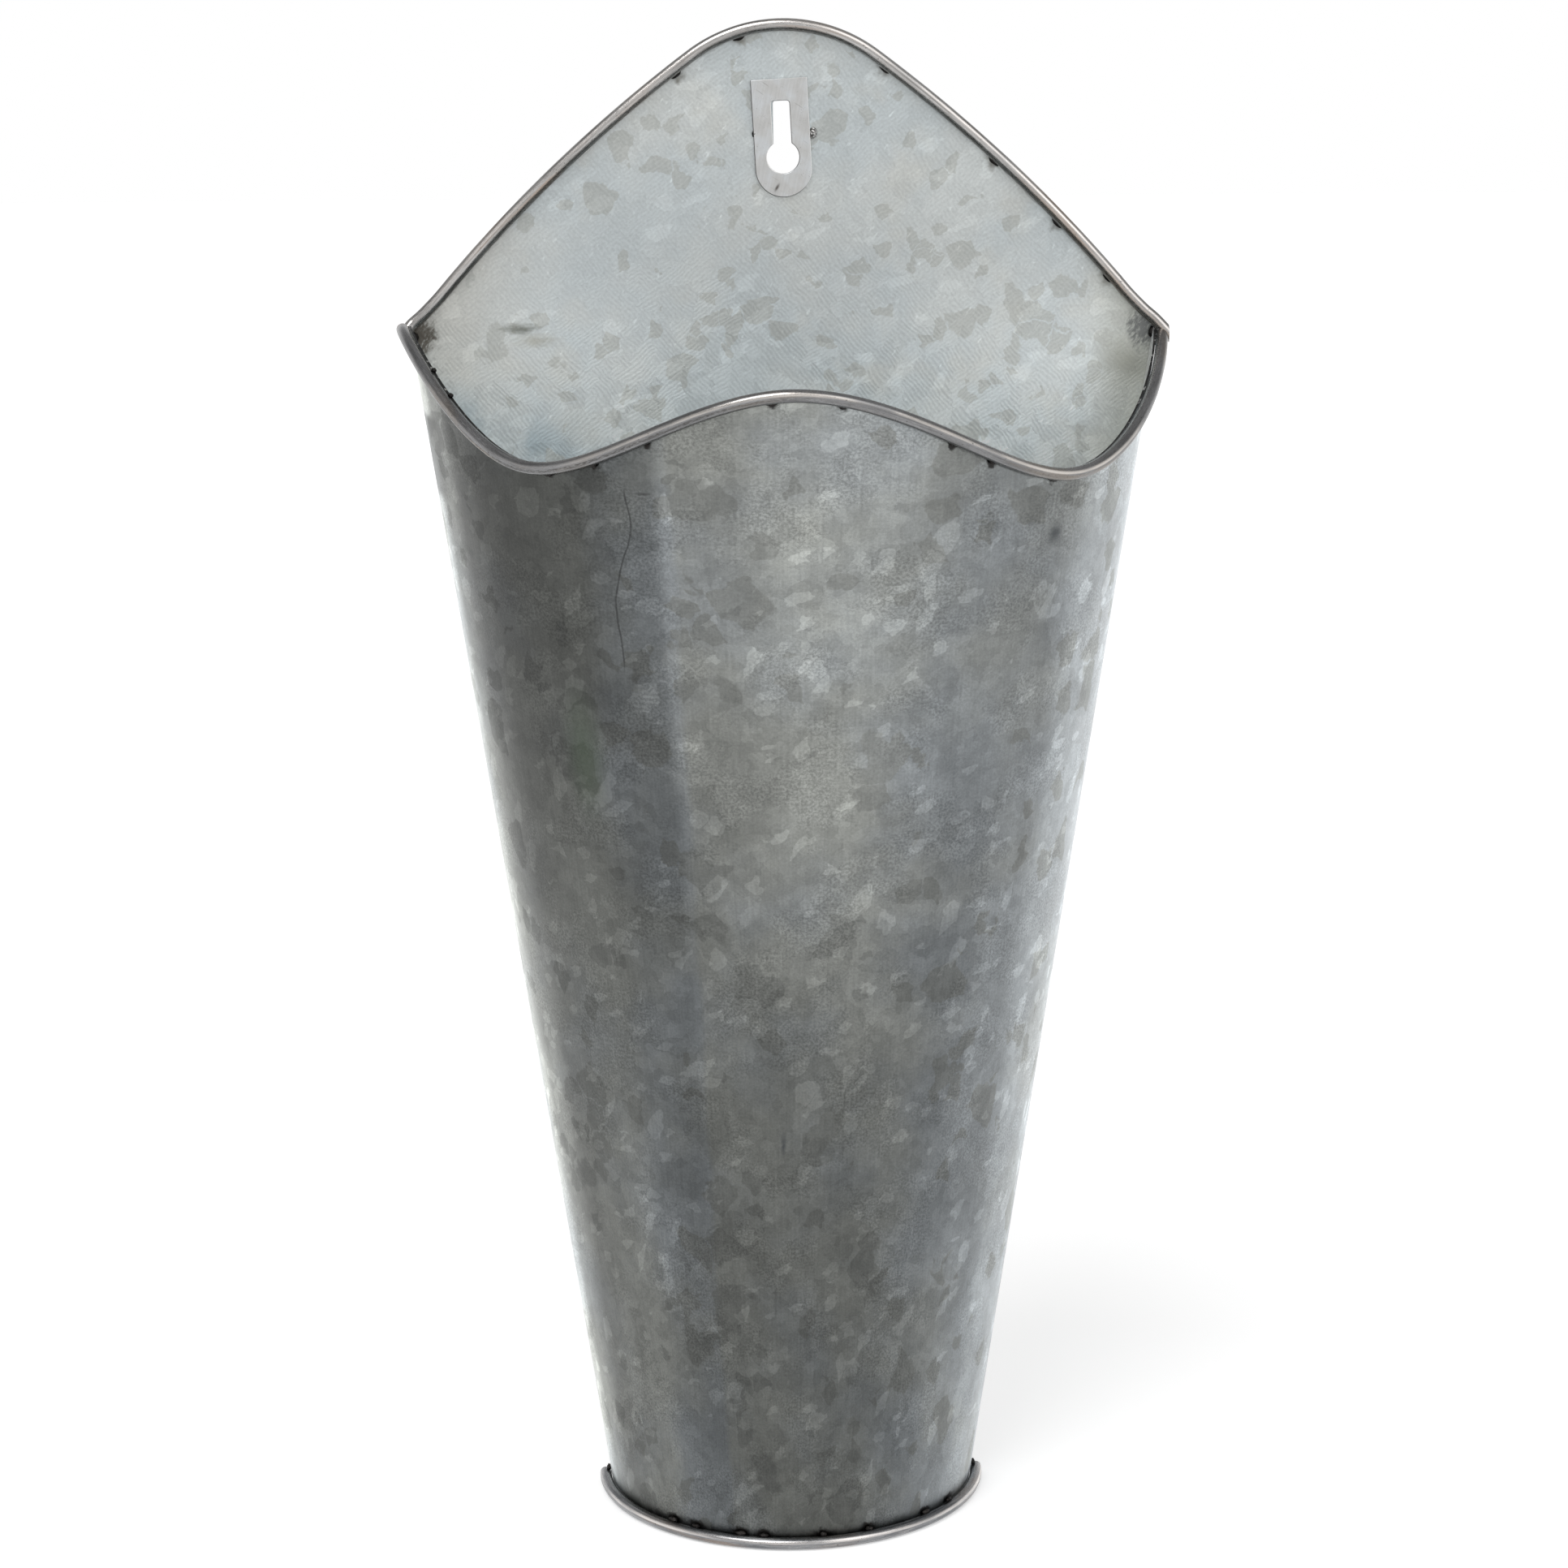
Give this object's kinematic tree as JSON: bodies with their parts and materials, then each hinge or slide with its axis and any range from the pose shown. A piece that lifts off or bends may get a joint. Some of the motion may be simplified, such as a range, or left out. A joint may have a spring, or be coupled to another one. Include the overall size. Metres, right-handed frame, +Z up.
{
  "type": "wall planter",
  "caption": "Tapered half-cone sheet-metal wall planter with an arched back panel, wavy front rim, wire-bound edges and a keyhole hanger.",
  "frame": {"origin": "centre of the keyhole's round hole, on the plane of the wall", "axes": "+Y into the wall, -Y towards the viewer, +X to the viewer's right, +Z up"},
  "size_m": [0.2008, 0.1, 0.3976],
  "materials": {
    "galvanised_sheet": "hot-dip zinc with a fine spangle, dulled",
    "bare_wire": "drawn round wire, bare, lightly tarnished",
    "hanger_steel": "brushed flat steel",
    "weld": "burnt weld bead"
  },
  "bodies": {
    "root": {"front_shell": "galvanised_sheet", "back_panel": "galvanised_sheet", "floor_plate": "galvanised_sheet", "front_rim_wire": "bare_wire", "back_rim_wire": "bare_wire", "base_rim_wire": "bare_wire", "hanger_plate": "hanger_steel", "front_rim_tacks": "weld", "back_rim_tacks": "weld", "base_rim_tacks": "weld", "corner_welds": "weld", "hanger_tacks": "weld"}
  },
  "joints": []
}
